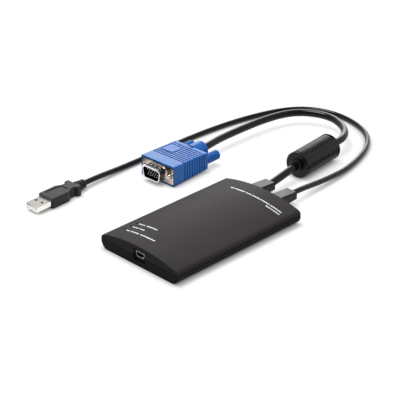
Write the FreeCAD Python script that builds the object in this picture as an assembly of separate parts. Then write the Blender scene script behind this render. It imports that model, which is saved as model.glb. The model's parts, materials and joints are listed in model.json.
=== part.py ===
import FreeCAD, Part
import math
import os

# Crash cart adapter: a flat two-shell box with a small data socket in its front wall and two captive
# cables at its back, one to a video plug with thumbscrews and one to a flat data plug.
# Millimetres, +Z up. The origin is the middle of the box's underside, the socket faces -Y and the
# cables leave towards +Y.

# Housing
HOUSING_LENGTH = 118.0
HOUSING_WIDTH = 73.0
HOUSING_HEIGHT = 15.0
SIDE_HEIGHT = 9.9  # where the arched roof would meet the upright side
SHOULDER_RADIUS = 3.5  # rounding between roof and side
BELLY_RADIUS = 6.0  # rounding between side and underside
END_EDGE_RADIUS = 0.5
LEAST_CORNER = 0.3
WALL = 2.0
SEAM_HEIGHT = 7.1
SEAM_GAP = 0.3
LIP_THICKNESS = 0.9
LIP_HEIGHT = 1.2
LIP_CLEARANCE = 0.1

# Socket and its recess in the front wall
SOCKET_ABOVE_SEAM = 1.4
SOCKET_ASIDE = 0.7  # from the middle of the wall
SOCKET_WIDTH = 8.1
SOCKET_HEIGHT = 4.1
SOCKET_LENGTH = 9.2
SOCKET_SHEET = 0.5
SOCKET_CHEEK = 0.9  # how far each lower corner steps in
SOCKET_CORNER_RADIUS = 0.4
SOCKET_PROUD = 0.3  # rim in front of the recess floor
SOCKET_CLEARANCE = 0.15
TONGUE_WIDTH = 5.0
TONGUE_THICKNESS = 0.9
TONGUE_SETBACK = 1.0
SOCKET_BLOCK_LENGTH = 2.5
SOCKET_CONTACT_COUNT = 5
SOCKET_CONTACT_PITCH = 0.8
SOCKET_CONTACT_WIDTH = 0.4
SOCKET_CONTACT_THICKNESS = 0.15
RECESS_WIDTH = 11.4
RECESS_HEIGHT = 9.0
RECESS_DROP = 0.6  # its middle below the socket's
RECESS_DEPTH = 1.4
RECESS_BACK = 1.2
RECESS_CORNER_RADIUS = 0.8

# Circuit board and what stands on it
BOARD_THICKNESS = 1.6
BOARD_SIDE_GAP = 1.5
BOARD_END_GAP = 0.5
BOARD_CORNER_RADIUS = 2.0
PROCESSOR_SIZE = 16.0
PROCESSOR_HEIGHT = 1.4
PROCESSOR_PLACE = (9.0, -12.0)
CONVERTER_SIZE = 12.0
CONVERTER_HEIGHT = 1.4
CONVERTER_PLACE = (-12.0, 20.0)
MEMORY_WIDTH = 8.0
MEMORY_LENGTH = 13.0
MEMORY_HEIGHT = 1.0
MEMORY_PLACE = (-12.0, -12.0)
HUB_SIZE = 7.0
HUB_HEIGHT = 0.9
HUB_PLACE = (12.0, 20.0)
CRYSTAL_WIDTH = 3.2
CRYSTAL_LENGTH = 5.0
CRYSTAL_HEIGHT = 0.9
CRYSTAL_PLACE = (9.0, 5.0)
CHIP_EDGE = 0.25
HEADER_LENGTH = 6.0
HEADER_HEIGHT = 3.4
HEADER_CHEEK = 1.2
HEADER_END_INSET = 16.0  # rear of the header to the rear of the housing
LEAD_DIAMETER = 1.0
LEAD_PITCH = 1.25
VIDEO_LEAD_COUNT = 6
DATA_LEAD_COUNT = 4

# Status lights
LIGHT_COUNT = 3
LIGHT_PITCH = 5.25
LIGHT_SIDE_INSET = 8.9
LIGHT_END_INSET = 13.8
LIGHT_WINDOW_DIAMETER = 1.6
LIGHT_COLLAR_DIAMETER = 2.6
LIGHT_COLLAR_HEIGHT = 0.8
LIGHT_CLEARANCE = 0.05
LIGHT_AIR = 0.2  # between lamp and light pipe
LAMP_WIDTH = 1.6
LAMP_LENGTH = 0.9
LAMP_HEIGHT = 0.7

# Housing screws and their bosses
BOSS_DIAMETER = 7.0
BOSS_SIDE_INSET = 9.0
BOSS_END_INSET = 8.5
SCREW_DIAMETER = 2.5
SCREW_HEAD_DIAMETER = 4.6
SCREW_HEAD_HEIGHT = 1.5
SCREW_HEAD_SINK = 0.6
SCREW_ENGAGEMENT = 3.2
SCREW_TIP_ROOM = 0.4
SCREW_CLEARANCE = 0.2
SCREW_THREAD_CLEARANCE = 0.03
SCREW_DRIVE_WIDTH = 0.6
SCREW_DRIVE_LENGTH = 2.6
SCREW_DRIVE_DEPTH = 0.8

# Strain reliefs at the back
RELIEF_SPACING = 20.6
RELIEF_WIDTH = 10.5
RELIEF_BASE_HEIGHT = 8.6
RELIEF_END_WIDTH = 10.2
RELIEF_END_HEIGHT = 6.0
RELIEF_LENGTH = 19.4
RELIEF_EDGE_RADIUS = 1.2
RELIEF_NECK_DEPTH = 1.0
RELIEF_NECK_CLEARANCE = 0.1
RELIEF_FLANGE = 2.5

# Ferrite choke on the video cable
FERRITE_DIAMETER = 20.0
FERRITE_LENGTH = 41.6
FERRITE_SETBACK = 10.2  # from the start of its straight run
FERRITE_EDGE = 0.8
FERRITE_COLLAR = 1.5
FERRITE_SLOT_WIDTH = 1.5
FERRITE_SLOT_DEPTH = 1.8
FERRITE_SLOT_ANGLE = 128.0
FERRITE_PANEL_COUNT = 2
FERRITE_PANEL_ANGLE = 142.0
FERRITE_PANEL_TURN = 142.0  # first panel's middle from straight up
FERRITE_RIB_COUNT = 17
FERRITE_RIB_CREST = 0.1  # crests below the smooth bands
FERRITE_RIB_DEPTH = 0.8
FERRITE_GROOVE_FLOOR = 0.5  # width between two ribs' feet
FERRITE_GROOVE_DRAFT = 0.2  # slope of a rib's flank, over its depth
FERRITE_HUB_DIAMETER = 10.0
FERRITE_HUB_LENGTH = 2.6
FERRITE_SKIN = 2.4
FERRITE_END_SKIN = 4.0
FERRITE_FIT = 0.15

# Video plug, built on its own axes: -Y is the mating direction, zero at the hood's front, foot on the floor
VIDEO_PLUG_PLACE = (-81.1, 35.5)
VIDEO_PLUG_TURN = 2.0
PLUG_AXIS_HEIGHT = 7.7
JACK_SPACING = 25.0
JACK_DIAMETER = 2.84
JACK_CLEARANCE = 0.1
JACK_REACH = 3.0  # tip in front of the hood
JACK_TIP = 0.5
HOOD_EAR = 3.9  # jackscrew axis to the hood's side
HOOD_LENGTH = 36.1
HOOD_FRONT_HEIGHT = 15.9
HOOD_REAR_HEIGHT = 14.9
HOOD_REAR_FOOT = 1.8  # rear underside above the floor
HOOD_RIM = 0.9
HOOD_EDGE_RADIUS = 1.0
HOOD_REAR_RADIUS = 0.6
HOOD_GROOVE_COUNT = 9
HOOD_GROOVE_FIRST = 10.7
HOOD_GROOVE_PITCH = 2.58
HOOD_GROOVE_WIDTH = 1.2
HOOD_GROOVE_DEPTH = 0.6
PAD_MIDDLE = (-7.8, 22.7)
PAD_WIDTH = 10.0
PAD_LENGTH = 9.6
PAD_RAISE = 0.3
BOOT_WIDTH = 13.0
BOOT_HEIGHT = 14.4
BOOT_LIFT = 0.9  # its middle above the plug's axis
BOOT_LENGTH = 11.6
BOOT_EDGE_RADIUS = 1.5
FLANGE_HEIGHT = 12.5
FLANGE_THICKNESS = 0.8
FLANGE_SETBACK = 0.1
FLANGE_CORNER_RADIUS = 1.0
FLANGE_HOLE_DIAMETER = 4.6
PLUG_FIT = 0.1
D_WIDTH = 16.92
D_HEIGHT = 8.36
D_SLANT = 10.0
D_CORNER_RADIUS = 2.2
D_SHEET = 0.7
D_REACH = 6.9
D_BEND_RADIUS = 0.8
DIMPLE_COUNT = 3
DIMPLE_PITCH = 4.2
DIMPLE_DIAMETER = 1.3
DIMPLE_DEPTH = 0.2
DIMPLE_SETBACK = 2.4
INSULATOR_STEP = 0.7
INSULATOR_DEPTH = 7.0
PIN_DIAMETER = 0.9
PIN_PITCH = 2.29
PIN_ROW_PITCH = 1.98
PIN_ROWS = 3
PINS_IN_ROW = 5
PIN_SETBACK = 1.4
PIN_TIP = 0.35
PIN_CLEARANCE = 0.03
KNOB_DIAMETER = 7.4
KNOB_LENGTH = 13.6
KNOB_GAP = 0.3
KNOB_BORE = 8.0
KNOB_FLUTES = 12
KNOB_FLUTE_DIAMETER = 1.1
KNOB_FLUTE_START = 2.2
KNOB_EDGE = 0.6
KNOB_SLOT_WIDTH = 1.0
KNOB_SLOT_DEPTH = 1.2

# Data plug, built on its own axes: -Y is the mating direction, zero at the shell's tip, foot on the floor
DATA_PLUG_PLACE = (-107.2, -60.3)
DATA_PLUG_TURN = 3.0
DATA_SHELL_WIDTH = 12.0
DATA_SHELL_HEIGHT = 4.5
DATA_SHELL_SHEET = 0.3
DATA_SHELL_RADIUS = 0.6
DATA_SHELL_REACH = 12.9
DATA_SHELL_SEAT = 6.0
DATA_SHELL_FIT = 0.05
LATCH_HOLE_SIZE = 2.3
LATCH_HOLE_SPACING = 6.0
LATCH_HOLE_SETBACK = 6.9
BLADE_HEIGHT = 1.95
BLADE_SETBACK = 0.5
BLADE_ROOT_SETBACK = 12.0
DATA_CONTACT_COUNT = 4
DATA_CONTACT_PITCH = 2.35
DATA_CONTACT_WIDTH = 1.1
DATA_CONTACT_LENGTH = 8.0
DATA_CONTACT_THICKNESS = 0.15
GRIP_WIDTH = 14.6
GRIP_HEIGHT = 7.9
GRIP_BODY_LENGTH = 14.3
GRIP_TAPER_LENGTH = 7.0
GRIP_WAIST_WIDTH = 9.6
GRIP_WAIST_LENGTH = 3.0
GRIP_WING_WIDTH = 13.8
GRIP_WING_LENGTH = 4.0
GRIP_CORNER_RADIUS = 0.8
GRIP_EDGE_RADIUS = 0.7
GRIP_PANEL_WIDTH = 10.6
GRIP_PANEL_REAR_WIDTH = 8.6
GRIP_PANEL_LENGTH = 15.8
GRIP_PANEL_SETBACK = 3.4
GRIP_PANEL_DEPTH = 0.45
GRIP_PANEL_RADIUS = 2.0
RELIEF_RING_COUNT = 3
RELIEF_RING_DIAMETER = 7.8
RELIEF_RING_TAPER = 0.5
RELIEF_RING_WIDTH = 1.9
RELIEF_RING_SPACE = 0.9
RELIEF_CORE_DIAMETER = 5.2
RELIEF_TAIL_LENGTH = 0.8

# Cables, and the turns of their routes chosen from the photograph
VIDEO_CABLE_DIAMETER = 4.5
DATA_CABLE_DIAMETER = 3.3
CABLE_EXIT_RUN = 9.5
VIDEO_ENTRY_RUN = 8.0
DATA_ENTRY_RUN = 13.0
FLOOR_CLEARANCE = 0.05
BEND_SHARE = 0.45  # part of the shorter run that each bend takes up

Vector = FreeCAD.Vector
UP = Vector(0, 0, 1)
BACK = Vector(0, 1, 0)

FRONT_Y = -HOUSING_LENGTH / 2
REAR_Y = HOUSING_LENGTH / 2
ROOF_RISE = HOUSING_HEIGHT - SIDE_HEIGHT
ROOF_RADIUS = ((HOUSING_WIDTH / 2) ** 2 + ROOF_RISE**2) / (2 * ROOF_RISE)
ROOF_CENTRE_Z = HOUSING_HEIGHT - ROOF_RADIUS
SOCKET_AXIS_Z = SEAM_HEIGHT + SOCKET_ABOVE_SEAM
RECESS_AXIS_Z = SOCKET_AXIS_Z - RECESS_DROP
BOARD_TOP = SOCKET_AXIS_Z - SOCKET_HEIGHT / 2
BOARD_BOTTOM = BOARD_TOP - BOARD_THICKNESS
RECESS_FLOOR_Y = FRONT_Y + RECESS_DEPTH
SOCKET_FRONT_Y = RECESS_FLOOR_Y - SOCKET_PROUD
BOARD_FRONT_Y = RECESS_FLOOR_Y + RECESS_BACK + BOARD_END_GAP
BOARD_REAR_Y = REAR_Y - WALL - RELIEF_FLANGE - BOARD_END_GAP
BOARD_HALF_WIDTH = HOUSING_WIDTH / 2 - WALL - BOARD_SIDE_GAP
BOSS_X = HOUSING_WIDTH / 2 - BOSS_SIDE_INSET
BOSS_Y = HOUSING_LENGTH / 2 - BOSS_END_INSET
BOSS_PLACES = [(x, y) for x in (-BOSS_X, BOSS_X) for y in (-BOSS_Y, BOSS_Y)]
SCREW_SEAT = SCREW_HEAD_SINK + SCREW_HEAD_HEIGHT
LIGHT_X = -HOUSING_WIDTH / 2 + LIGHT_SIDE_INSET
LIGHT_PLACES = [(LIGHT_X, FRONT_Y + LIGHT_END_INSET + i * LIGHT_PITCH) for i in range(LIGHT_COUNT)]
VIDEO_X = -RELIEF_SPACING / 2
DATA_X = RELIEF_SPACING / 2
HEADER_REAR_Y = REAR_Y - HEADER_END_INSET
RELIEF_AXIS_Z = SEAM_HEIGHT
RELIEF_END_Y = REAR_Y + RELIEF_LENGTH
FERRITE_AXIS_Z = FERRITE_DIAMETER / 2
HOOD_WIDTH = JACK_SPACING + 2 * HOOD_EAR
FLANGE_WIDTH = HOOD_WIDTH - 2 * HOOD_RIM - 2 * PLUG_FIT
FLANGE_BACK = FLANGE_SETBACK + FLANGE_THICKNESS
D_RIM_Y = FLANGE_SETBACK - D_REACH
INSULATOR_REAR = FLANGE_BACK + INSULATOR_DEPTH
DATA_AXIS_Z = GRIP_HEIGHT / 2
DATA_FLOOR_Z = DATA_CABLE_DIAMETER / 2 + FLOOR_CLEARANCE
GRIP_WAIST_Y = DATA_SHELL_REACH + GRIP_BODY_LENGTH + GRIP_TAPER_LENGTH
GRIP_WING_Y = GRIP_WAIST_Y + GRIP_WAIST_LENGTH
GRIP_REAR_Y = GRIP_WING_Y + GRIP_WING_LENGTH
RELIEF_TAIL_Y = GRIP_REAR_Y + RELIEF_RING_COUNT * (RELIEF_RING_WIDTH + RELIEF_RING_SPACE) + RELIEF_TAIL_LENGTH


def save(name, *solids):
    """Writes one piece, or a group of like pieces, as one file."""
    shape = solids[0] if len(solids) == 1 else Part.makeCompound(list(solids))
    shape.exportStep(os.path.join("parts", name + ".step"))


def box(x0, x1, y0, y1, z0, z1):
    return Part.makeBox(x1 - x0, y1 - y0, z1 - z0, Vector(x0, y0, z0))


def rod(diameter, start, length, axis):
    return Part.makeCylinder(diameter / 2, length, start, axis)


def edges_along(shape, axis):
    """The straight edges that run along an axis."""
    found = []
    for edge in shape.Edges:
        if edge.Curve.TypeId == "Part::GeomLine":
            run = edge.Vertexes[-1].Point - edge.Vertexes[0].Point
            if abs(run.dot(axis)) > run.Length * 0.999:
                found.append(edge)
    return found


def edges_at(shape, axis, level):
    """The edges that lie whole in the plane at that level of an axis."""
    return [e for e in shape.Edges if all(abs(v.Point.dot(axis) - level) < 1e-6 for v in e.Vertexes)]


def rounded_box(x0, x1, y0, y1, z0, z1, radius, axis):
    """A box whose edges along one axis are rounded."""
    plain = box(x0, x1, y0, y1, z0, z1)
    return plain.makeFillet(radius, edges_along(plain, axis))


def extruded(points, direction):
    return Part.Face(Part.makePolygon(points + points[:1])).extrude(direction)


def revolved(points, axis, angle):
    return Part.Face(Part.makePolygon(points + points[:1])).revolve(Vector(0, 0, 0), axis, angle)


def placed(shape, place, turn):
    """A plug's piece, turned about the vertical and moved to where the plug lies."""
    moved = shape.copy()
    moved.Placement = placement(place, turn).multiply(moved.Placement)
    return moved


def placement(place, turn):
    return FreeCAD.Placement(Vector(place[0], place[1], 0), FreeCAD.Rotation(UP, turn))


def roof_height(x, inset):
    """Height of the arched roof at a distance x from the middle, inset below its skin."""
    return ROOF_CENTRE_Z + math.sqrt((ROOF_RADIUS - inset) ** 2 - x**2)


def housing_block(inset):
    """The housing's form with its arched roof, drawn in by one distance on every side."""
    half = HOUSING_WIDTH / 2 - inset
    front = FRONT_Y + inset
    roof = ROOF_RADIUS - inset
    shoulder = max(SHOULDER_RADIUS - inset, LEAST_CORNER)
    shoulder_x = half - shoulder
    shoulder_z = ROOF_CENTRE_Z + math.sqrt((roof - shoulder) ** 2 - shoulder_x**2)
    shoulder_end = math.atan2(shoulder_z - ROOF_CENTRE_Z, shoulder_x)
    belly = max(min(BELLY_RADIUS, shoulder_z - LEAST_CORNER) - inset, LEAST_CORNER)

    def around(x, z, radius, angle):
        return Vector(x + radius * math.cos(angle), front, z + radius * math.sin(angle))

    right = [around(half - belly, inset + belly, belly, a) for a in (-math.pi / 2, -math.pi / 4, 0)]
    right += [around(shoulder_x, shoulder_z, shoulder, a) for a in (0, shoulder_end / 2, shoulder_end)]
    left = [Vector(-p.x, p.y, p.z) for p in reversed(right)]
    crown = Vector(0, front, HOUSING_HEIGHT - inset)
    outline = [
        Part.LineSegment(left[5], right[0]),
        Part.Arc(*right[0:3]),
        Part.LineSegment(right[2], right[3]),
        Part.Arc(*right[3:6]),
        Part.Arc(right[5], crown, left[0]),
        Part.Arc(*left[0:3]),
        Part.LineSegment(left[2], left[3]),
        Part.Arc(*left[3:6]),
    ]
    face = Part.Face(Part.Wire([curve.toShape() for curve in outline]))
    return face.extrude(Vector(0, HOUSING_LENGTH - 2 * inset, 0))


def housing_slab(low, high):
    """Everything of the housing's plan between two heights."""
    return box(-HOUSING_WIDTH, HOUSING_WIDTH, -HOUSING_LENGTH, HOUSING_LENGTH, low, high)


def outer_skin():
    block = housing_block(0)
    ends = edges_at(block, BACK, FRONT_Y) + edges_at(block, BACK, REAR_Y)
    return block.makeFillet(END_EDGE_RADIUS, ends)


def recess_backing():
    """The thicker stretch of front wall that the socket's recess is sunk into."""
    left = SOCKET_ASIDE - RECESS_WIDTH / 2 - RECESS_BACK
    right = SOCKET_ASIDE + RECESS_WIDTH / 2 + RECESS_BACK
    low = RECESS_AXIS_Z - RECESS_HEIGHT / 2 - RECESS_BACK
    high = RECESS_AXIS_Z + RECESS_HEIGHT / 2 + RECESS_BACK
    backing = box(left, right, FRONT_Y + WALL / 2, RECESS_FLOOR_Y + RECESS_BACK, low, high)
    return backing.common(housing_block(WALL / 2))


def recess_cut():
    left = SOCKET_ASIDE - RECESS_WIDTH / 2
    right = SOCKET_ASIDE + RECESS_WIDTH / 2
    low = RECESS_AXIS_Z - RECESS_HEIGHT / 2
    high = RECESS_AXIS_Z + RECESS_HEIGHT / 2
    pocket = rounded_box(left, right, FRONT_Y - WALL, RECESS_FLOOR_Y, low, high, RECESS_CORNER_RADIUS, BACK)
    through = socket_prism(-SOCKET_CLEARANCE, FRONT_Y - WALL, RECESS_FLOOR_Y + 2 * RECESS_BACK)
    return pocket.fuse(through)


def relief_section(width, height, y):
    """A rounded rectangle about the strain relief's axis, at one distance along it."""
    half = width / 2
    radius = min(RELIEF_EDGE_RADIUS, height / 2 - LEAST_CORNER)
    plain = box(-half, half, y, y + 1, RELIEF_AXIS_Z - height / 2, RELIEF_AXIS_Z + height / 2)
    rounded = plain.makeFillet(radius, edges_along(plain, BACK))
    return min((w for f in rounded.Faces for w in f.Wires), key=lambda w: w.CenterOfGravity.y)


def relief_neck(clearance):
    """What passes through the rear wall, centred across the box."""
    half = RELIEF_WIDTH / 2 - RELIEF_NECK_DEPTH + clearance
    rise = RELIEF_BASE_HEIGHT / 2 - RELIEF_NECK_DEPTH + clearance
    return box(-half, half, REAR_Y - WALL, REAR_Y, RELIEF_AXIS_Z - rise, RELIEF_AXIS_Z + rise)


def rear_cuts():
    neck = relief_neck(RELIEF_NECK_CLEARANCE)
    return [neck.translated(Vector(x, 0, 0)) for x in (VIDEO_X, DATA_X)]


def screw_bores():
    """The stepped hole of each screw through the lower boss."""
    bores = []
    for x, y in BOSS_PLACES:
        bores.append(rod(SCREW_DIAMETER + 2 * SCREW_CLEARANCE, Vector(x, y, 0), BOARD_BOTTOM, UP))
        bores.append(rod(SCREW_HEAD_DIAMETER + 2 * SCREW_CLEARANCE, Vector(x, y, 0), SCREW_SEAT, UP))
    return bores


def bottom_cover():
    shell = outer_skin().common(housing_slab(0, SEAM_HEIGHT))
    lip = housing_block(WALL - LIP_THICKNESS).common(housing_slab(0, SEAM_HEIGHT + LIP_HEIGHT))
    lip_break = RECESS_WIDTH / 2 + RECESS_BACK + LIP_CLEARANCE
    breaks = box(SOCKET_ASIDE - lip_break, SOCKET_ASIDE + lip_break, FRONT_Y, 0, SEAM_HEIGHT, HOUSING_HEIGHT)
    body = shell.fuse(lip.cut(breaks)).cut(housing_block(WALL))
    body = body.fuse(recess_backing().common(housing_slab(0, SEAM_HEIGHT)))
    boss_height = BOARD_BOTTOM - WALL / 2
    body = body.fuse([rod(BOSS_DIAMETER, Vector(x, y, WALL / 2), boss_height, UP) for x, y in BOSS_PLACES])
    return body.cut([recess_cut()] + rear_cuts() + screw_bores()).removeSplitter()


def top_cover():
    shell = outer_skin().common(housing_slab(SEAM_HEIGHT + SEAM_GAP, HOUSING_HEIGHT))
    rebate = housing_block(WALL - LIP_THICKNESS - LIP_CLEARANCE)
    rebate = rebate.common(housing_slab(0, SEAM_HEIGHT + LIP_HEIGHT + LIP_CLEARANCE))
    body = shell.cut([housing_block(WALL), rebate])
    body = body.fuse(recess_backing().common(housing_slab(SEAM_HEIGHT + SEAM_GAP, HOUSING_HEIGHT)))
    bosses = [rod(BOSS_DIAMETER, Vector(x, y, BOARD_TOP), HOUSING_HEIGHT, UP) for x, y in BOSS_PLACES]
    body = body.fuse([boss.common(housing_block(WALL / 2)) for boss in bosses])
    pilot = SCREW_DIAMETER + 2 * SCREW_THREAD_CLEARANCE
    depth = SCREW_ENGAGEMENT + SCREW_TIP_ROOM
    pilots = [rod(pilot, Vector(x, y, BOARD_TOP), depth, UP) for x, y in BOSS_PLACES]
    window = LIGHT_WINDOW_DIAMETER + 2 * LIGHT_CLEARANCE
    windows = [rod(window, Vector(x, y, BOARD_TOP), HOUSING_HEIGHT, UP) for x, y in LIGHT_PLACES]
    return body.cut([recess_cut()] + rear_cuts() + pilots + windows).removeSplitter()


def housing_screw(x, y):
    head = rod(SCREW_HEAD_DIAMETER, Vector(x, y, SCREW_HEAD_SINK), SCREW_HEAD_HEIGHT, UP)
    shank = rod(SCREW_DIAMETER, Vector(x, y, SCREW_SEAT), BOARD_TOP + SCREW_ENGAGEMENT - SCREW_SEAT, UP)
    half_length = SCREW_DRIVE_LENGTH / 2
    half_width = SCREW_DRIVE_WIDTH / 2
    top = SCREW_HEAD_SINK + SCREW_DRIVE_DEPTH
    slot_x = box(x - half_length, x + half_length, y - half_width, y + half_width, 0, top)
    slot_y = box(x - half_width, x + half_width, y - half_length, y + half_length, 0, top)
    return head.fuse(shank).cut([slot_x, slot_y])


def circuit_board():
    half = BOARD_HALF_WIDTH
    plate = box(-half, half, BOARD_FRONT_Y, BOARD_REAR_Y, BOARD_BOTTOM, BOARD_TOP)
    plate = plate.makeFillet(BOARD_CORNER_RADIUS, edges_along(plate, UP))
    hole = SCREW_DIAMETER + 2 * SCREW_CLEARANCE
    return plate.cut([rod(hole, Vector(x, y, BOARD_BOTTOM), BOARD_THICKNESS, UP) for x, y in BOSS_PLACES])


def chip(place, width, length, height):
    """A flat package on the board, with its upper edges bevelled."""
    x, y = place
    body = box(x - width / 2, x + width / 2, y - length / 2, y + length / 2, BOARD_TOP, BOARD_TOP + height)
    return body.makeChamfer(CHIP_EDGE, edges_at(body, UP, BOARD_TOP + height))


def cable_header(x, lead_count):
    half = (lead_count * LEAD_PITCH) / 2 + HEADER_CHEEK
    front = HEADER_REAR_Y - HEADER_LENGTH
    body = box(x - half, x + half, front, HEADER_REAR_Y, BOARD_TOP, BOARD_TOP + HEADER_HEIGHT)
    return body.makeChamfer(CHIP_EDGE, edges_at(body, UP, BOARD_TOP + HEADER_HEIGHT))


def cable_leads(x, lead_count):
    """The cores of a cable between its strain relief and its header."""
    length = REAR_Y - WALL - RELIEF_FLANGE - HEADER_REAR_Y
    first = x - (lead_count - 1) * LEAD_PITCH / 2
    starts = [Vector(first + i * LEAD_PITCH, HEADER_REAR_Y, RELIEF_AXIS_Z) for i in range(lead_count)]
    return [rod(LEAD_DIAMETER, start, length, BACK) for start in starts]


def socket_prism(inset, front, rear):
    """The socket's outline, wide above and stepped in below, between two distances from the front."""
    half = SOCKET_WIDTH / 2 - inset
    low_half = half - SOCKET_CHEEK
    top = SOCKET_AXIS_Z + SOCKET_HEIGHT / 2 - inset
    bottom = SOCKET_AXIS_Z - SOCKET_HEIGHT / 2 + inset
    cheek_top = SOCKET_AXIS_Z
    cheek_bottom = SOCKET_AXIS_Z - SOCKET_CHEEK
    corners = [
        (-half, top),
        (half, top),
        (half, cheek_top),
        (low_half, cheek_bottom),
        (low_half, bottom),
        (-low_half, bottom),
        (-low_half, cheek_bottom),
        (-half, cheek_top),
    ]
    prism = extruded([Vector(SOCKET_ASIDE + x, front, z) for x, z in corners], Vector(0, rear - front, 0))
    return prism.makeFillet(SOCKET_CORNER_RADIUS, edges_along(prism, BACK))


def socket_shell():
    rear = SOCKET_FRONT_Y + SOCKET_LENGTH
    outside = socket_prism(0, SOCKET_FRONT_Y, rear)
    return outside.cut(socket_prism(SOCKET_SHEET, SOCKET_FRONT_Y, rear - SOCKET_SHEET))


def socket_tongue():
    rear = SOCKET_FRONT_Y + SOCKET_LENGTH - SOCKET_SHEET
    block = socket_prism(SOCKET_SHEET, rear - SOCKET_BLOCK_LENGTH, rear)
    left = SOCKET_ASIDE - TONGUE_WIDTH / 2
    right = SOCKET_ASIDE + TONGUE_WIDTH / 2
    low = SOCKET_AXIS_Z - TONGUE_THICKNESS / 2
    tongue = box(left, right, SOCKET_FRONT_Y + TONGUE_SETBACK, rear, low, low + TONGUE_THICKNESS)
    return block.fuse(tongue).removeSplitter()


def socket_contacts():
    front = SOCKET_FRONT_Y + 2 * TONGUE_SETBACK
    rear = SOCKET_FRONT_Y + SOCKET_LENGTH - SOCKET_SHEET - SOCKET_BLOCK_LENGTH
    top = SOCKET_AXIS_Z - TONGUE_THICKNESS / 2
    first = SOCKET_ASIDE - (SOCKET_CONTACT_COUNT - 1) * SOCKET_CONTACT_PITCH / 2 - SOCKET_CONTACT_WIDTH / 2
    strips = []
    for i in range(SOCKET_CONTACT_COUNT):
        x = first + i * SOCKET_CONTACT_PITCH
        strips.append(box(x, x + SOCKET_CONTACT_WIDTH, front, rear, top - SOCKET_CONTACT_THICKNESS, top))
    return strips


def status_lamp(place):
    x, y = place
    corner = Vector(x - LAMP_WIDTH / 2, y - LAMP_LENGTH / 2, BOARD_TOP)
    return Part.makeBox(LAMP_WIDTH, LAMP_LENGTH, LAMP_HEIGHT, corner)


def light_pipe(place):
    """A clear rod from a lamp to the roof's skin, stopped by a collar under the roof."""
    x, y = place
    foot = Vector(x, y, BOARD_TOP + LAMP_HEIGHT + LIGHT_AIR)
    stem = rod(LIGHT_WINDOW_DIAMETER, foot, HOUSING_HEIGHT, UP).common(housing_block(0))
    collar_top = roof_height(abs(x) + LIGHT_COLLAR_DIAMETER / 2, WALL)
    collar_foot = Vector(x, y, collar_top - LIGHT_COLLAR_HEIGHT)
    return stem.fuse(rod(LIGHT_COLLAR_DIAMETER, collar_foot, LIGHT_COLLAR_HEIGHT, UP)).removeSplitter()


def strain_relief(x):
    """A tapered block outside the rear wall, a neck through it and a flange behind it."""
    base = relief_section(RELIEF_WIDTH, RELIEF_BASE_HEIGHT, REAR_Y)
    end = relief_section(RELIEF_END_WIDTH, RELIEF_END_HEIGHT, RELIEF_END_Y)
    block = Part.makeLoft([base, end], True, True)
    flange_face = Part.Face(relief_section(RELIEF_WIDTH, RELIEF_BASE_HEIGHT, REAR_Y - WALL - RELIEF_FLANGE))
    flange = flange_face.extrude(Vector(0, RELIEF_FLANGE, 0)).common(housing_block(WALL))
    return block.fuse([relief_neck(0), flange]).removeSplitter().translated(Vector(x, 0, 0))


def cable(name, points, diameter):
    """A round cable of straight runs joined by tangent arcs, and the radii of its bends."""
    edges = []
    radii = []
    length = 0.0
    start = points[0]
    for before, corner, after in zip(points, points[1:], points[2:]):
        incoming = corner - before
        outgoing = after - corner
        turn = incoming.getAngle(outgoing)
        reach = BEND_SHARE * min(incoming.Length, outgoing.Length)
        radius = reach / math.tan(turn / 2)
        into = incoming / incoming.Length
        away = outgoing / outgoing.Length
        inward = (away - into) / (away - into).Length
        first = corner - into * reach
        last = corner + away * reach
        middle = corner + inward * (radius / math.cos(turn / 2) - radius)
        edges.append(Part.LineSegment(start, first).toShape())
        edges.append(Part.Arc(first, middle, last).toShape())
        length += (first - start).Length + radius * turn
        radii.append(radius)
        start = last
    edges.append(Part.LineSegment(start, points[-1]).toShape())
    length += (points[-1] - start).Length
    profile = Part.Wire([Part.makeCircle(diameter / 2, points[0], points[1] - points[0])])
    tube = Part.Wire(edges).makePipeShell([profile], True, True)
    share = tube.Volume / (math.pi * diameter**2 / 4 * length)
    print(name, "length %.1f, volume over section times length %.5f" % (length, share))
    print("  bend radii", " ".join("%.0f" % r for r in radii))
    return tube


def relief_exit(x, out):
    return Vector(x, RELIEF_END_Y + out, RELIEF_AXIS_Z)


def video_plug_point(along):
    """A point on the video plug's axis, at a distance behind the hood's front."""
    return placement(VIDEO_PLUG_PLACE, VIDEO_PLUG_TURN).multVec(Vector(0, along, PLUG_AXIS_HEIGHT))


def data_plug_point(along):
    """A point on the data plug's axis, at a distance behind the shell's tip."""
    return placement(DATA_PLUG_PLACE, DATA_PLUG_TURN).multVec(Vector(0, along, DATA_AXIS_Z))


def video_route():
    """Out of the box, straight through the ferrite choke, round and back to the video plug."""
    boot_end = HOOD_LENGTH + BOOT_LENGTH
    turns = [
        (-12.0, 100.0, FERRITE_AXIS_Z),
        (-19.4, 170.7, FERRITE_AXIS_Z),
        (-28.5, 182.7, 9.6),
        (-44.5, 191.3, 9.5),
        (-57.5, 192.0, 9.4),
        (-70.4, 186.5, 9.3),
        (-78.0, 178.9, 9.2),
        (-83.0, 167.3, 9.1),
        (-85.7, 150.0, 9.0),
        (-86.4, 131.0, 8.9),
        (-86.4, 115.0, 8.5),
        (-86.0, 103.0, 7.9),
    ]
    route = [relief_exit(VIDEO_X, 0), relief_exit(VIDEO_X, CABLE_EXIT_RUN)]
    route += [Vector(*p) for p in turns]
    return route + [video_plug_point(boot_end + VIDEO_ENTRY_RUN), video_plug_point(boot_end)]


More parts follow.
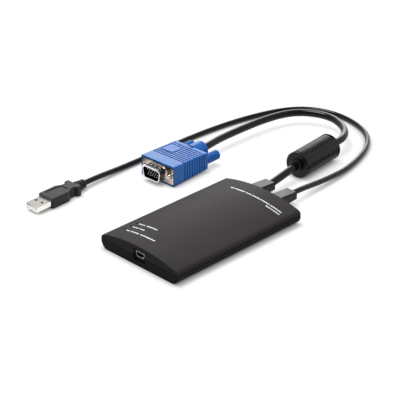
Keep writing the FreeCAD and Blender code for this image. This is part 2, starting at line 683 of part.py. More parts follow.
def data_route():
    """Out of the box, down to the floor, round outside the video cable and back to the data plug."""
    turns = [
        (9.6, 104.0, 5.2),
        (8.7, 122.0, 3.4),
        (6.8, 142.0, 2.0),
        (1.5, 163.0, DATA_FLOOR_Z),
        (-6.5, 183.0, DATA_FLOOR_Z),
        (-20.5, 200.5, DATA_FLOOR_Z),
        (-40.0, 210.3, DATA_FLOOR_Z),
        (-63.0, 214.0, DATA_FLOOR_Z),
        (-84.0, 206.5, DATA_FLOOR_Z),
        (-97.0, 191.5, DATA_FLOOR_Z),
        (-104.5, 171.0, DATA_FLOOR_Z),
        (-109.5, 148.0, DATA_FLOOR_Z),
        (-112.3, 123.0, DATA_FLOOR_Z),
        (-113.3, 97.0, DATA_FLOOR_Z),
        (-112.9, 70.0, DATA_FLOOR_Z),
        (-112.1, 46.0, DATA_FLOOR_Z),
        (-111.6, 26.0, 2.0),
    ]
    route = [relief_exit(DATA_X, 0), relief_exit(DATA_X, CABLE_EXIT_RUN)]
    route += [Vector(*p) for p in turns]
    return route + [data_plug_point(RELIEF_TAIL_Y + DATA_ENTRY_RUN), data_plug_point(RELIEF_TAIL_Y)]


def on_ferrite_run(shape):
    """A piece turned about the X axis, moved onto the cable's straight run through the choke."""
    start, end = video_route()[2:4]
    direction = end - start
    heading = math.degrees(math.atan2(direction.y, direction.x))
    moved = shape.copy()
    near_end = start + direction / direction.Length * FERRITE_SETBACK
    moved.Placement = FreeCAD.Placement(near_end, FreeCAD.Rotation(UP, heading)).multiply(moved.Placement)
    return moved


def ferrite_sleeve():
    """The moulded sleeve: a hub round the cable at each end, ribbed panels and slots behind the collars."""
    outside = FERRITE_DIAMETER / 2
    hub = FERRITE_HUB_DIAMETER / 2
    bore = VIDEO_CABLE_DIAMETER / 2 + FERRITE_FIT
    core = outside - FERRITE_SKIN
    near_half = [
        (-FERRITE_HUB_LENGTH, bore),
        (-FERRITE_HUB_LENGTH, hub - FERRITE_EDGE),
        (-FERRITE_HUB_LENGTH + FERRITE_EDGE, hub),
        (0, hub),
        (0, outside - FERRITE_EDGE),
        (FERRITE_EDGE, outside),
    ]
    far_half = [(FERRITE_LENGTH - s, r) for s, r in reversed(near_half)]
    chamber = [
        (FERRITE_LENGTH - FERRITE_END_SKIN, bore),
        (FERRITE_LENGTH - FERRITE_END_SKIN, core),
        (FERRITE_END_SKIN, core),
        (FERRITE_END_SKIN, bore),
    ]
    section = [Vector(s, 0, r) for s, r in near_half + far_half + chamber]
    sleeve = revolved(section, Vector(1, 0, 0), 360)
    return on_ferrite_run(sleeve.cut(ferrite_panels() + ferrite_slots()))


def turned_about_run(shape, angle):
    """A cut turned about the choke's axis, from straight up."""
    moved = shape.copy()
    moved.rotate(Vector(0, 0, 0), Vector(1, 0, 0), angle)
    return moved


def panel_middles():
    return [FERRITE_PANEL_TURN + 360.0 * i / FERRITE_PANEL_COUNT for i in range(FERRITE_PANEL_COUNT)]


def ferrite_panels():
    """Rows of narrow grooves round part of the sleeve, which leave the flat-topped ribs."""
    outside = FERRITE_DIAMETER / 2
    beyond = outside + FERRITE_RIB_DEPTH
    crest = outside - FERRITE_RIB_CREST
    ribs_from = FERRITE_COLLAR + FERRITE_SLOT_WIDTH
    rib_pitch = (FERRITE_LENGTH - 2 * ribs_from) / FERRITE_RIB_COUNT
    groove = crest - FERRITE_RIB_DEPTH
    foot = FERRITE_GROOVE_FLOOR / 2
    shoulder = foot + FERRITE_GROOVE_DRAFT
    ends = [(ribs_from, beyond), (ribs_from, groove)]
    profile = list(ends)
    for i in range(FERRITE_RIB_COUNT):
        near = ribs_from + i * rib_pitch
        far = near + rib_pitch
        profile += [(near + foot, groove), (near + shoulder, crest)]
        profile += [(far - shoulder, crest), (far - foot, groove)]
    profile += [(FERRITE_LENGTH - s, r) for s, r in reversed(ends)]
    panel = revolved([Vector(s, 0, r) for s, r in profile], Vector(1, 0, 0), FERRITE_PANEL_ANGLE)
    return [turned_about_run(panel, middle - FERRITE_PANEL_ANGLE / 2) for middle in panel_middles()]


def ferrite_slots():
    """Deep slots behind both collars, at the ends of each ribbed panel."""
    outside = FERRITE_DIAMETER / 2
    cuts = []
    for start in (FERRITE_COLLAR, FERRITE_LENGTH - FERRITE_COLLAR - FERRITE_SLOT_WIDTH):
        end = start + FERRITE_SLOT_WIDTH
        floor = outside - FERRITE_SLOT_DEPTH
        beyond = outside + FERRITE_SLOT_DEPTH
        profile = [(start, floor), (end, floor), (end, beyond), (start, beyond)]
        slot = revolved([Vector(s, 0, r) for s, r in profile], Vector(1, 0, 0), FERRITE_SLOT_ANGLE)
        cuts += [turned_about_run(slot, middle - FERRITE_SLOT_ANGLE / 2) for middle in panel_middles()]
    return cuts


def ferrite_core():
    bore = VIDEO_CABLE_DIAMETER / 2 + FERRITE_FIT
    skin = FERRITE_DIAMETER / 2 - FERRITE_SKIN - FERRITE_FIT
    near = FERRITE_END_SKIN
    far = FERRITE_LENGTH - FERRITE_END_SKIN
    section = [Vector(near, 0, bore), Vector(far, 0, bore), Vector(far, 0, skin), Vector(near, 0, skin)]
    return on_ferrite_run(revolved(section, Vector(1, 0, 0), 360))


def hood_form(inset, front, rear):
    """The hood's form, thinner at the back, between two distances from its front and drawn in all round."""
    slope = (HOOD_REAR_HEIGHT - HOOD_FRONT_HEIGHT) / HOOD_LENGTH
    foot_slope = HOOD_REAR_FOOT / HOOD_LENGTH
    left = -HOOD_WIDTH / 2 + inset
    side = [
        Vector(left, front, foot_slope * front + inset),
        Vector(left, rear, foot_slope * rear + inset),
        Vector(left, rear, HOOD_FRONT_HEIGHT + slope * rear - inset),
        Vector(left, front, HOOD_FRONT_HEIGHT + slope * front - inset),
    ]
    return extruded(side, Vector(HOOD_WIDTH - 2 * inset, 0, 0))


def hood_grooves():
    """Grip grooves round the hood, left off where the blank pad stands."""
    slabs = []
    for i in range(HOOD_GROOVE_COUNT):
        front = HOOD_GROOVE_FIRST + i * HOOD_GROOVE_PITCH
        slabs.append(hood_form(-HOOD_GROOVE_DEPTH, front, front + HOOD_GROOVE_WIDTH))
    kept = hood_form(HOOD_GROOVE_DEPTH, 0, HOOD_LENGTH).fuse(hood_pad())
    return [slab.cut(kept) for slab in slabs]


def hood_pad():
    x, y = PAD_MIDDLE
    half = PAD_WIDTH / 2
    region = box(x - half, x + half, 0, HOOD_LENGTH, PLUG_AXIS_HEIGHT, 2 * HOOD_FRONT_HEIGHT)
    return hood_form(-PAD_RAISE, y - PAD_LENGTH / 2, y + PAD_LENGTH / 2).common(region)


def jack_places():
    return [-JACK_SPACING / 2, JACK_SPACING / 2]


def video_hood():
    """The moulded hood with its cable boot, grip grooves and the stepped pocket for the connector."""
    block = hood_form(0, 0, HOOD_LENGTH)
    lengthwise = [e for e in block.Edges if e.BoundBox.YLength > HOOD_LENGTH / 2]
    block = block.makeFillet(HOOD_EDGE_RADIUS, lengthwise)
    block = block.makeFillet(HOOD_REAR_RADIUS, edges_at(block, BACK, HOOD_LENGTH))
    block = block.cut(hood_grooves()).fuse(hood_pad())
    half = FLANGE_WIDTH / 2 + PLUG_FIT
    rise = FLANGE_HEIGHT / 2 + PLUG_FIT
    low = PLUG_AXIS_HEIGHT - rise
    pocket = rounded_box(-half, half, 0, FLANGE_BACK, low, low + 2 * rise, FLANGE_CORNER_RADIUS, BACK)
    well = d_prism(D_SHEET + INSULATOR_STEP + PLUG_FIT, 0, INSULATOR_REAR)
    bore = JACK_DIAMETER + 2 * JACK_CLEARANCE
    bores = [rod(bore, Vector(x, 0, PLUG_AXIS_HEIGHT), HOOD_LENGTH, BACK) for x in jack_places()]
    return block.fuse(cable_boot()).cut([pocket, well] + bores).removeSplitter()


def cable_boot():
    """The oval stub behind the hood that the cable comes out of."""
    root = HOOD_LENGTH - HOOD_REAR_RADIUS
    end = HOOD_LENGTH + BOOT_LENGTH
    middle = Vector(0, root, PLUG_AXIS_HEIGHT + BOOT_LIFT)
    tall = middle + Vector(0, 0, BOOT_HEIGHT / 2)
    wide = middle + Vector(BOOT_WIDTH / 2, 0, 0)
    oval = Part.Face(Part.Wire([Part.Ellipse(tall, wide, middle).toShape()]))
    stub = oval.extrude(Vector(0, end - root, 0))
    return stub.makeFillet(BOOT_EDGE_RADIUS, edges_at(stub, BACK, end))


def d_prism(outset, front, rear):
    """The D-shaped outline of the mating face, wide side up, grown by one distance all round."""
    top = PLUG_AXIS_HEIGHT + D_HEIGHT / 2 + outset
    bottom = PLUG_AXIS_HEIGHT - D_HEIGHT / 2 - outset
    slant = math.radians(D_SLANT)
    half_middle = D_WIDTH / 2 - D_HEIGHT / 2 * math.tan(slant) + outset / math.cos(slant)
    half_top = half_middle + (top - PLUG_AXIS_HEIGHT) * math.tan(slant)
    half_bottom = half_middle - (PLUG_AXIS_HEIGHT - bottom) * math.tan(slant)
    corners = [(-half_top, top), (half_top, top), (half_bottom, bottom), (-half_bottom, bottom)]
    prism = extruded([Vector(x, front, z) for x, z in corners], Vector(0, rear - front, 0))
    return prism.makeFillet(D_CORNER_RADIUS + outset, edges_along(prism, BACK))


def d_shell():
    """The plated front shell: a flange with two holes and the D-shaped skirt, dimpled above and below."""
    half = FLANGE_WIDTH / 2
    low = PLUG_AXIS_HEIGHT - FLANGE_HEIGHT / 2
    high = low + FLANGE_HEIGHT
    flange = rounded_box(-half, half, FLANGE_SETBACK, FLANGE_BACK, low, high, FLANGE_CORNER_RADIUS, BACK)
    skirt = d_prism(D_SHEET, D_RIM_Y, FLANGE_BACK)
    places = [Vector(x, 0, PLUG_AXIS_HEIGHT) for x in jack_places()]
    holes = [rod(FLANGE_HOLE_DIAMETER, place, FLANGE_BACK, BACK) for place in places]
    drawn = flange.fuse(skirt).removeSplitter()
    near = d_prism(D_SHEET + LEAST_CORNER, D_RIM_Y, FLANGE_BACK)
    bend = [e for e in edges_at(drawn, BACK, FLANGE_SETBACK) if near.isInside(e.CenterOfMass, 1e-6, True)]
    drawn = drawn.makeFillet(D_BEND_RADIUS, bend)
    return drawn.cut([d_prism(0, D_RIM_Y, FLANGE_BACK)] + holes + dimples()).removeSplitter()


def dimples():
    rise = D_HEIGHT / 2 + D_SHEET
    first = -(DIMPLE_COUNT - 1) * DIMPLE_PITCH / 2
    y = FLANGE_SETBACK - DIMPLE_SETBACK
    marks = []
    for i in range(DIMPLE_COUNT):
        for z in (PLUG_AXIS_HEIGHT - rise, PLUG_AXIS_HEIGHT + rise - DIMPLE_DEPTH):
            marks.append(rod(DIMPLE_DIAMETER, Vector(first + i * DIMPLE_PITCH, y, z), DIMPLE_DEPTH, UP))
    return marks


def pin_places():
    """Three rows of pins, the middle one set half a pitch aside."""
    places = []
    for row in range(PIN_ROWS):
        aside = PIN_PITCH / 4 if row % 2 else -PIN_PITCH / 4
        z = PLUG_AXIS_HEIGHT + ((PIN_ROWS - 1) / 2 - row) * PIN_ROW_PITCH
        places += [(aside + (i - (PINS_IN_ROW - 1) / 2) * PIN_PITCH, z) for i in range(PINS_IN_ROW)]
    return places


def d_insulator():
    front = d_prism(-PLUG_FIT, FLANGE_SETBACK, FLANGE_BACK)
    back = d_prism(D_SHEET + INSULATOR_STEP, FLANGE_BACK, INSULATOR_REAR)
    hole = PIN_DIAMETER + 2 * PIN_CLEARANCE
    depth = INSULATOR_REAR - FLANGE_SETBACK
    holes = [rod(hole, Vector(x, FLANGE_SETBACK, z), depth, BACK) for x, z in pin_places()]
    return front.fuse(back).removeSplitter().cut(holes)


def d_pin(x, z):
    front = D_RIM_Y + PIN_SETBACK
    shaft = rod(PIN_DIAMETER, Vector(x, front, z), INSULATOR_REAR - front, BACK)
    return shaft.makeChamfer(PIN_TIP, edges_at(shaft, BACK, front))


def jackscrew(x):
    tip = -JACK_REACH
    end = HOOD_LENGTH + KNOB_GAP + KNOB_BORE
    shaft = rod(JACK_DIAMETER, Vector(x, tip, PLUG_AXIS_HEIGHT), end - tip, BACK)
    return shaft.makeChamfer(JACK_TIP, edges_at(shaft, BACK, tip))


def thumb_knob(x):
    """A fluted knob moulded onto a jackscrew, with a driver slot in its end."""
    front = HOOD_LENGTH + KNOB_GAP
    rear = front + KNOB_LENGTH
    knob = rod(KNOB_DIAMETER, Vector(x, front, PLUG_AXIS_HEIGHT), KNOB_LENGTH, BACK)
    knob = knob.makeChamfer(KNOB_EDGE, edges_at(knob, BACK, rear))
    cuts = [rod(JACK_DIAMETER, Vector(x, front, PLUG_AXIS_HEIGHT), KNOB_BORE, BACK)]
    reach = KNOB_DIAMETER / 2 + KNOB_FLUTE_DIAMETER / 4
    for i in range(KNOB_FLUTES):
        angle = 2 * math.pi * i / KNOB_FLUTES
        aside = Vector(reach * math.cos(angle), 0, reach * math.sin(angle))
        start = Vector(x, front + KNOB_FLUTE_START, PLUG_AXIS_HEIGHT) + aside
        cuts.append(rod(KNOB_FLUTE_DIAMETER, start, KNOB_LENGTH, BACK))
    half = KNOB_SLOT_WIDTH / 2
    across = KNOB_DIAMETER
    low = PLUG_AXIS_HEIGHT - across
    cuts.append(box(x - half, x + half, rear - KNOB_SLOT_DEPTH, rear, low, low + 2 * across))
    return knob.cut(cuts)


def data_shell_form(inset, front, rear):
    half = DATA_SHELL_WIDTH / 2 - inset
    rise = DATA_SHELL_HEIGHT / 2 - inset
    radius = max(DATA_SHELL_RADIUS - inset, LEAST_CORNER)
    return rounded_box(-half, half, front, rear, DATA_AXIS_Z - rise, DATA_AXIS_Z + rise, radius, BACK)


def data_shell():
    """The folded plug shell, open in front and behind, with two latch holes above and two below."""
    rear = DATA_SHELL_REACH + DATA_SHELL_SEAT
    tube = data_shell_form(0, 0, rear).cut(data_shell_form(DATA_SHELL_SHEET, 0, rear))
    half = LATCH_HOLE_SIZE / 2
    holes = []
    for x in (-LATCH_HOLE_SPACING / 2, LATCH_HOLE_SPACING / 2):
        y = LATCH_HOLE_SETBACK
        holes.append(box(x - half, x + half, y - half, y + half, 0, GRIP_HEIGHT))
    return tube.cut(holes)


def data_blade():
    """The moulded blade on the shell's floor, with a root that fills the shell behind it."""
    half = DATA_SHELL_WIDTH / 2 - DATA_SHELL_SHEET - DATA_SHELL_FIT
    rise = DATA_SHELL_HEIGHT / 2 - DATA_SHELL_SHEET - DATA_SHELL_FIT
    low = DATA_AXIS_Z - rise
    rear = DATA_SHELL_REACH + DATA_SHELL_SEAT
    blade = box(-half, half, BLADE_SETBACK, rear, low, low + BLADE_HEIGHT)
    root = box(-half, half, BLADE_ROOT_SETBACK, rear, low, low + 2 * rise)
    room = data_shell_form(DATA_SHELL_SHEET + DATA_SHELL_FIT, 0, rear)
    return blade.fuse(root).removeSplitter().common(room)


def data_contacts():
    """Flat strips on the blade's upper side."""
    low = DATA_AXIS_Z - DATA_SHELL_HEIGHT / 2 + DATA_SHELL_SHEET + DATA_SHELL_FIT + BLADE_HEIGHT
    rear = BLADE_ROOT_SETBACK
    first = -(DATA_CONTACT_COUNT - 1) * DATA_CONTACT_PITCH / 2 - DATA_CONTACT_WIDTH / 2
    strips = []
    for i in range(DATA_CONTACT_COUNT):
        x = first + i * DATA_CONTACT_PITCH
        front = rear - DATA_CONTACT_LENGTH
        strips.append(box(x, x + DATA_CONTACT_WIDTH, front, rear, low, low + DATA_CONTACT_THICKNESS))
    return strips


def grip_outline():
    """The grip seen from above: a straight body, a waist drawn in by two arcs each side, and a wing."""
    body = GRIP_WIDTH / 2
    waist = GRIP_WAIST_WIDTH / 2
    wing = GRIP_WING_WIDTH / 2
    taper_from = DATA_SHELL_REACH + GRIP_BODY_LENGTH
    taper_middle = taper_from + GRIP_TAPER_LENGTH / 2
    middle = (body + waist) / 2
    run = GRIP_TAPER_LENGTH / 2
    drop = body - middle
    radius = (run**2 + drop**2) / (2 * drop)
    half_angle = math.asin(run / radius) / 2
    outer_bow = (body - radius * (1 - math.cos(half_angle)), taper_from + radius * math.sin(half_angle))
    inner_bow = (waist + radius * (1 - math.cos(half_angle)), GRIP_WAIST_Y - radius * math.sin(half_angle))

    def side(sign):
        def at(x, y):
            return Vector(sign * x, y, 0)

        return [
            Part.LineSegment(at(body, DATA_SHELL_REACH), at(body, taper_from)),
            Part.Arc(at(body, taper_from), at(*outer_bow), at(middle, taper_middle)),
            Part.Arc(at(middle, taper_middle), at(*inner_bow), at(waist, GRIP_WAIST_Y)),
            Part.LineSegment(at(waist, GRIP_WAIST_Y), at(waist, GRIP_WING_Y)),
            Part.LineSegment(at(waist, GRIP_WING_Y), at(wing, GRIP_WING_Y)),
            Part.LineSegment(at(wing, GRIP_WING_Y), at(wing, GRIP_REAR_Y)),
        ]

    rear = Part.LineSegment(Vector(wing, GRIP_REAR_Y, 0), Vector(-wing, GRIP_REAR_Y, 0))
    front = Part.LineSegment(Vector(-body, DATA_SHELL_REACH, 0), Vector(body, DATA_SHELL_REACH, 0))
    curves = side(1) + [rear] + side(-1)[::-1] + [front]
    return Part.Wire(Part.__sortEdges__([curve.toShape() for curve in curves]))


def grip_relief():
    """The ringed strain relief behind the grip, on the cable's axis."""
    core = RELIEF_CORE_DIAMETER / 2
    section = [(GRIP_REAR_Y - GRIP_WING_LENGTH / 2, 0), (GRIP_REAR_Y - GRIP_WING_LENGTH / 2, core)]
    y = GRIP_REAR_Y
    for i in range(RELIEF_RING_COUNT):
        ring = (RELIEF_RING_DIAMETER - i * RELIEF_RING_TAPER) / 2
        y += RELIEF_RING_SPACE
        section += [(y, core), (y, ring), (y + RELIEF_RING_WIDTH, ring), (y + RELIEF_RING_WIDTH, core)]
        y += RELIEF_RING_WIDTH
    section += [(RELIEF_TAIL_Y, core), (RELIEF_TAIL_Y, 0)]
    return revolved([Vector(0, s, r) for s, r in section], BACK, 360).translated(Vector(0, 0, DATA_AXIS_Z))


def data_grip():
    """The moulded grip of the data plug with its waist, wing, blank panel and ringed strain relief."""
    body = Part.Face(grip_outline()).extrude(Vector(0, 0, GRIP_HEIGHT))
    body = body.makeFillet(GRIP_CORNER_RADIUS, edges_along(body, UP))
    body = body.makeFillet(GRIP_EDGE_RADIUS, edges_at(body, UP, 0) + edges_at(body, UP, GRIP_HEIGHT))
    seat = data_shell_form(-DATA_SHELL_FIT, DATA_SHELL_REACH, DATA_SHELL_REACH + DATA_SHELL_SEAT)
    return body.fuse(grip_relief()).cut([grip_panel(), seat]).removeSplitter()


def grip_panel():
    """The sunk panel on the grip's top, narrower towards the waist."""
    front = DATA_SHELL_REACH + GRIP_PANEL_SETBACK
    rear = front + GRIP_PANEL_LENGTH
    floor = GRIP_HEIGHT - GRIP_PANEL_DEPTH
    half = GRIP_PANEL_WIDTH / 2
    rear_half = GRIP_PANEL_REAR_WIDTH / 2
    corners = [(-half, front), (half, front), (rear_half, rear), (-rear_half, rear)]
    panel = extruded([Vector(x, y, floor) for x, y in corners], Vector(0, 0, GRIP_PANEL_DEPTH))
    return panel.makeFillet(GRIP_PANEL_RADIUS, edges_along(panel, UP))


def save_housing():
    save("bottom_cover", bottom_cover())
    save("top_cover", top_cover())
    save("housing_screws", *[housing_screw(x, y) for x, y in BOSS_PLACES])
    save("circuit_board", circuit_board())
    save("processor_chip", chip(PROCESSOR_PLACE, PROCESSOR_SIZE, PROCESSOR_SIZE, PROCESSOR_HEIGHT))
    save("video_converter_chip", chip(CONVERTER_PLACE, CONVERTER_SIZE, CONVERTER_SIZE, CONVERTER_HEIGHT))
    save("memory_chip", chip(MEMORY_PLACE, MEMORY_WIDTH, MEMORY_LENGTH, MEMORY_HEIGHT))
    save("data_hub_chip", chip(HUB_PLACE, HUB_SIZE, HUB_SIZE, HUB_HEIGHT))
    save("clock_crystal", chip(CRYSTAL_PLACE, CRYSTAL_WIDTH, CRYSTAL_LENGTH, CRYSTAL_HEIGHT))
    save("video_header", cable_header(VIDEO_X, VIDEO_LEAD_COUNT))
    save("data_header", cable_header(DATA_X, DATA_LEAD_COUNT))
    save("video_leads", *cable_leads(VIDEO_X, VIDEO_LEAD_COUNT))
    save("data_leads", *cable_leads(DATA_X, DATA_LEAD_COUNT))
    save("socket_shell", socket_shell())
    save("socket_tongue", socket_tongue())
    save("socket_contacts", *socket_contacts())
    save("status_lamps", *[status_lamp(place) for place in LIGHT_PLACES])
    save("light_pipes", *[light_pipe(place) for place in LIGHT_PLACES])
    save("video_cable_relief", strain_relief(VIDEO_X))
    save("data_cable_relief", strain_relief(DATA_X))


def save_video_cable():
    save("video_cable", cable("video cable", video_route(), VIDEO_CABLE_DIAMETER))
    save("ferrite_sleeve", ferrite_sleeve())
    save("ferrite_core", ferrite_core())
    pieces = {
        "video_plug_hood": [video_hood()],
        "video_plug_shell": [d_shell()],
        "video_plug_insulator": [d_insulator()],
        "video_plug_pins": [d_pin(x, z) for x, z in pin_places()],
    }
    for side, x in zip(("left", "right"), jack_places()):
        pieces[side + "_jackscrew"] = [jackscrew(x)]
        pieces[side + "_thumb_knob"] = [thumb_knob(x)]
    for name, solids in pieces.items():
        save(name, *[placed(solid, VIDEO_PLUG_PLACE, VIDEO_PLUG_TURN) for solid in solids])


def save_data_cable():
    save("data_cable", cable("data cable", data_route(), DATA_CABLE_DIAMETER))
    pieces = {
        "data_plug_grip": [data_grip()],
        "data_plug_shell": [data_shell()],
        "data_plug_blade": [data_blade()],
        "data_plug_contacts": data_contacts(),
    }
    for name, solids in pieces.items():
        save(name, *[placed(solid, DATA_PLUG_PLACE, DATA_PLUG_TURN) for solid in solids])


os.makedirs("parts", exist_ok=True)
save_housing()
save_video_cable()
save_data_cable()
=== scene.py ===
import bmesh
import bpy
import json
import math
from mathutils import Matrix, Vector


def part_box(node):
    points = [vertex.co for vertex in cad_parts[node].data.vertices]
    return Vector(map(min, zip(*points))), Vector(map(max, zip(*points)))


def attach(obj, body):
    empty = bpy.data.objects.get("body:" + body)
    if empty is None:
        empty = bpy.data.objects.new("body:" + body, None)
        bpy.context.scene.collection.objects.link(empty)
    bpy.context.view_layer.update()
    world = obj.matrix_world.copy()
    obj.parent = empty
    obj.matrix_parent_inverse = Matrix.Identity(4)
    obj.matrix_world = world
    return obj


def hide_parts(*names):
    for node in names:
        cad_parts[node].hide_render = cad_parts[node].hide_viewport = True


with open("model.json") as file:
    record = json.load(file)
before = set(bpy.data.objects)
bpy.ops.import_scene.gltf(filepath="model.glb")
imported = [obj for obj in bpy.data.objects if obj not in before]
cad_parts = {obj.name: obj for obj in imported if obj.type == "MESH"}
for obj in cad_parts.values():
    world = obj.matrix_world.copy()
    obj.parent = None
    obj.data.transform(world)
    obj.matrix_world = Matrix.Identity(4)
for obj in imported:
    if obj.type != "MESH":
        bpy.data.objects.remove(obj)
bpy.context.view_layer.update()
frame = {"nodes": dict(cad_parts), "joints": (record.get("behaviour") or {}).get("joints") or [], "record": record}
NODES = frame["nodes"]
SLOT_OF = {part["node"]: part["material_slot"] for part in frame["record"]["subparts"]}
MM = 0.001
BLACK = (0.0, 0.0, 0.0)
WHITE = (1.0, 1.0, 1.0)

# Camera, placed where the photograph was taken from
EYE = (0.6323, -0.6346, 0.4951)
EYE_TILT = math.radians(62.42)
EYE_TURN = math.radians(45.0)
EYE_LENS = 136.0
SENSOR = 36.0

# Floor
FLOOR_SIZE = 6.0
FLOOR_DROP = 0.05 * MM
FLOOR_GLOW = 0.72
FLOOR_PALE = (0.32, 0.32, 0.32)
FLOOR_ROUGHNESS = 0.9
# Reach of the floor's painted contact shadow
FLOOR_CONTACT = 5.0 * MM

# World: what reflections show and what fills the shadows, each from dim to bright along its own way
SKY_WAY = (-0.3, 0.95, -0.5)
SKY_SPAN = (-1.0, 0.8)
SKY_LEVELS = (0.15, 1.0)
FILL_WAY = (0.9, 0.44, 0.0)
FILL_SPAN = (-0.6, 1.0)
FILL_LEVELS = (0.08, 0.6)

# Soft lights: two large ones for the whole object, and a small one each for the data plug and the hood
MIDDLE = (0.0, 0.0, 0.0)
DATA_PLUG_MOUTH = (-0.107, -0.060, 0.004)
HOOD_SIDE = (-0.063, 0.053, 0.008)
WIDE = math.pi
NARROW = math.radians(50.0)
SOFTBOXES = {
    "key": {"place": (-0.4, -0.03, 1.2), "size": (0.6, 0.6), "power": 13.0},
    "card": {"place": (-0.746, 0.951, 0.42), "size": (0.62, 0.65), "power": 4.2},
    "front": {
        "place": (-0.145, -0.125, 0.040),
        "size": (0.04, 0.03),
        "power": 0.0055,
        "aim": DATA_PLUG_MOUTH,
        "spread": NARROW,
    },
    "side": {
        "place": (0.005, 0.045, 0.024),
        "size": (0.03, 0.012),
        "power": 0.0011,
        "aim": HOOD_SIDE,
        "spread": NARROW,
    },
}

# All finishes: the span that most of a noise's values lie in
NOISE_SPAN = (0.3, 0.7)

# Moulded plastics: the slow drift of their tone, the grain's shares in tone and gloss, and the gloss's ends
DRIFT_SIZE = 18.0 * MM
DRIFT_TONES = (0.86, 1.14)
GRAIN_DETAIL = 3.0
GRAIN_IN_TONE = 0.5
GRAIN_IN_GLOSS = 0.4
GLOSS_SPAN = (0.4, 1.0)
PLASTIC_WANDER = (-0.05, 0.06)

# Metals: their fine lines, the slow clouding under them, and how far their roughness wanders
LINE_SIZE = 0.12 * MM
LINE_DEPTH = 0.002 * MM
LINES_IN_GLOSS = 0.6
CLOUD_SIZE = 3.0 * MM
CLOUD_TONES = (0.9, 1.05)
METAL_WANDER = (-0.07, 0.09)

# Housing roof, which the print lies on: the height of its sides, where its arc begins
SIDE_HEIGHT = 9.9 * MM

# Cables: the turns of their routes, in metres
VIDEO_CABLE_DIAMETER = 5.7 * MM
VIDEO_ROUTE = [
    (-0.0103, 0.0784, 0.0071),
    (-0.0103, 0.0808, 0.0072),
    (-0.0127, 0.1066, 0.0098),
    (-0.0133, 0.1124, 0.0100),
    (-0.0178, 0.1557, 0.0100),
    (-0.0194, 0.1707, 0.0100),
    (-0.0285, 0.1827, 0.0096),
    (-0.0445, 0.1913, 0.0095),
    (-0.0575, 0.1920, 0.0094),
    (-0.0704, 0.1865, 0.0093),
    (-0.0780, 0.1789, 0.0092),
    (-0.0830, 0.1673, 0.0091),
    (-0.0857, 0.1500, 0.0090),
    (-0.0864, 0.1310, 0.0089),
    (-0.0864, 0.1150, 0.0088),
    (-0.0860, 0.1030, 0.0087),
    (-0.0841, 0.0900, 0.0086),
    (-0.083245, 0.082555, 0.0086),
]
DATA_CABLE_DIAMETER = 4.0 * MM
DATA_ROUTE = [
    (0.0103, 0.0784, 0.0071),
    (0.0103, 0.0879, 0.0071),
    (0.0096, 0.1040, 0.0052),
    (0.0087, 0.1220, 0.0036),
    (0.0068, 0.1420, 0.0024),
    (0.0015, 0.1630, 0.0021),
    (-0.0065, 0.1830, 0.0021),
    (-0.0205, 0.2005, 0.0021),
    (-0.0400, 0.2103, 0.0021),
    (-0.0630, 0.2134, 0.0021),
    (-0.0840, 0.2065, 0.0021),
    (-0.0970, 0.1915, 0.0021),
    (-0.1045, 0.1710, 0.0021),
    (-0.1095, 0.1480, 0.0021),
    (-0.1123, 0.1230, 0.0021),
    (-0.1133, 0.0970, 0.0021),
    (-0.1129, 0.0700, 0.0021),
    (-0.1121, 0.0460, 0.0021),
    (-0.1116, 0.0260, 0.0024),
    (-0.110518, 0.003013, 0.00395),
    (-0.109838, -0.009969, 0.00395),
]
CABLE_ROUNDNESS = 8
CABLE_STEPS = 14
SPLINE_ORDER = 3

# Jackscrews, measured forward along each one's own axis from where its joint stands
SCREW_TIP = 39.1 * MM
SCREW_END = -8.3 * MM
SCREW_RADIUS = 1.42 * MM
SCREW_SIDES = 32
THREAD_LENGTH = 6.0 * MM
THREAD_PITCH = 0.64 * MM
THREAD_DEPTH = 0.22 * MM
THREAD_LEAD_IN = 0.5 * MM
RINGS_PER_PITCH = 8

# Screws and print: the angle from which an edge is shaded sharp
SHARP_EDGE = math.radians(35.0)

# Data plug: the heights between which painted shade begins on its shell's upper face, and the least and most of it
# that shows
TOP_SHADE_SPAN = (6.0 * MM, 6.15 * MM)
TOP_SHADE_NOISE = (0.3, 0.6)
TOP_SHADE_SHOWN = (0.6, 1.0)

# Video plug: its own axes, and where its shell and pins get painted shade or painted highlights, measured ahead of
# the hood's front
PLUG_PLACE = (-0.0811, 0.0355, 0.0)
PLUG_TURN = math.radians(2.0)
SKIRT_WANDER = 0.4 * MM
SKIRT_SPAN = (0.5 * MM, 1.6 * MM)
RIM_SPAN = (6.55 * MM, 6.72 * MM)
DIMPLE_AHEAD = 2.3 * MM
DIMPLE_PITCH = 4.2 * MM
DIMPLE_HIGHLIGHT_FADE = (0.55 * MM, 0.85 * MM)
DIMPLE_STRETCH = 1.8
DIMPLES_ACROSS = (5.4 * MM, 6.0 * MM)
PIN_TIP_SPAN = (4.6 * MM, 5.0 * MM)
PIN_TIP_WANDER = 0.2 * MM

# Print on the roof: rows of plain upright ticks, as place along the roof, tick height and runs across in mm
PRINT_LIFT = 0.015 * MM
PRINT_DEPTH = 0.02 * MM
TICK_WIDTH = 0.70 * MM
TICK_PITCH = 0.86 * MM
NEAR_TICK = 1.35 * MM
FAR_TICK = 1.3 * MM
LOW_TICK = 0.75
TALL_EVERY = 3
FAR_RUNS = [(-17.6, -13.4), (-12.6, -3.6), (-2.8, 1.6), (2.4, 9.8), (10.6, 19.2), (20.0, 30.7)]
PRINT_ROWS = [
    (-34.6 * MM, NEAR_TICK, [(-25.2, -19.2), (-17.6, -7.2)]),
    (-40.3 * MM, NEAR_TICK, [(-25.2, -19.6), (-18.0, -13.5)]),
    (-46.4 * MM, NEAR_TICK, [(-25.0, -21.5), (-20.4, -12.4), (-11.3, 2.4)]),
    (46.0 * MM, FAR_TICK, FAR_RUNS),
    (43.1 * MM, FAR_TICK, [(18.3, 24.0), (24.8, 30.5)]),
]


